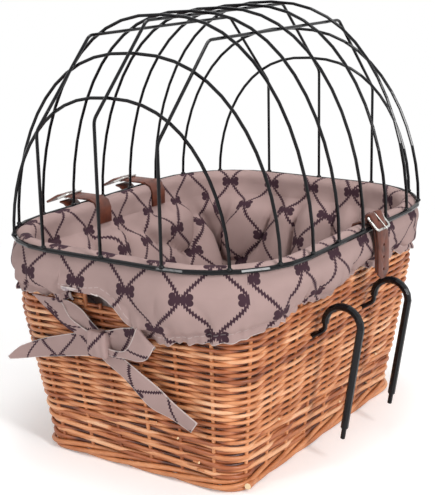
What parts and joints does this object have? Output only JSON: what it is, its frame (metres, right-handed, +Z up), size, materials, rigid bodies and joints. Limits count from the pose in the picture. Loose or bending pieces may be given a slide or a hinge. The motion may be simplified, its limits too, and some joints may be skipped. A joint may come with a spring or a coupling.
{
  "type": "dog bicycle basket",
  "caption": "Woven willow handlebar basket for a small dog, with a printed cloth liner, a hinged wire dome, leather straps and sleeved hanging hooks",
  "frame": {"origin": "middle of the basket's underside, on the surface that it stands on", "axes": "+Z up, +Y towards the side with the hanging hooks, +X along the basket's long side"},
  "size_m": [0.4419, 0.4301, 0.4586],
  "materials": {
    "willow": "satin",
    "printed_cotton": "matte",
    "coated_wire": "gloss",
    "strap_leather": "satin",
    "bright_steel": "polished",
    "hook_sleeve_plastic": "satin"
  },
  "bodies": {
    "basket": {"basket_base": "willow", "side_weave": "willow", "foot_border": "willow", "top_border": "willow", "liner_bag": "printed_cotton", "liner_collar": "printed_cotton", "floor_pad": "printed_cotton", "tie_bow_left": "printed_cotton", "tie_bow_right": "printed_cotton", "closure_inner_strap": "strap_leather", "hinge_strap_1": "strap_leather", "hinge_base_strap_1": "strap_leather", "hinge_strap_2": "strap_leather", "hinge_base_strap_2": "strap_leather", "hinge_buckle_1": "bright_steel", "hinge_buckle_2": "bright_steel", "hook_rod_1": "coated_wire", "hook_sleeve_1": "hook_sleeve_plastic", "hook_rod_2": "coated_wire", "hook_sleeve_2": "hook_sleeve_plastic"},
    "cage": {"rim_wire": "coated_wire", "arch_1": "coated_wire", "arch_2": "coated_wire", "arch_3": "coated_wire", "arch_4": "coated_wire", "arch_5": "coated_wire", "arch_6": "coated_wire", "arch_7": "coated_wire", "arch_8": "coated_wire", "arch_9": "coated_wire", "bar_front": "coated_wire", "bar_middle": "coated_wire", "bar_rear": "coated_wire"},
    "closure": {"closure_strap": "strap_leather", "closure_base_strap": "strap_leather", "closure_buckle": "bright_steel"},
    "closure_tongue": {"closure_prong": "bright_steel"},
    "hinge_tongue_1": {"hinge_prong_1": "bright_steel"},
    "hinge_tongue_2": {"hinge_prong_2": "bright_steel"}
  },
  "joints": [
    {"name": "cage_lid", "type": "hinge", "parent": "basket", "child": "cage", "pos_m": [0, -0.17, 0.235], "axis": [1, 0, 0], "range_deg": [0, 100]},
    {"name": "closure_bend", "type": "hinge", "parent": "cage", "child": "closure", "pos_m": [0, 0.16455, 0.24215], "axis": [1, 0, 0], "range_deg": [0, 90]},
    {"name": "closure_tongue_lift", "type": "hinge", "parent": "closure", "child": "closure_tongue", "pos_m": [0, 0.1685, 0.247], "axis": [1, 0, 0], "range_deg": [0, 70]},
    {"name": "hinge_tongue_lift_1", "type": "hinge", "parent": "basket", "child": "hinge_tongue_1", "pos_m": [0, -0.205, 0.2382], "axis": [1, 0, 0], "range_deg": [0, 70]},
    {"name": "hinge_tongue_lift_2", "type": "hinge", "parent": "basket", "child": "hinge_tongue_2", "pos_m": [0, -0.205, 0.2382], "axis": [1, 0, 0], "range_deg": [0, 70]}
  ]
}
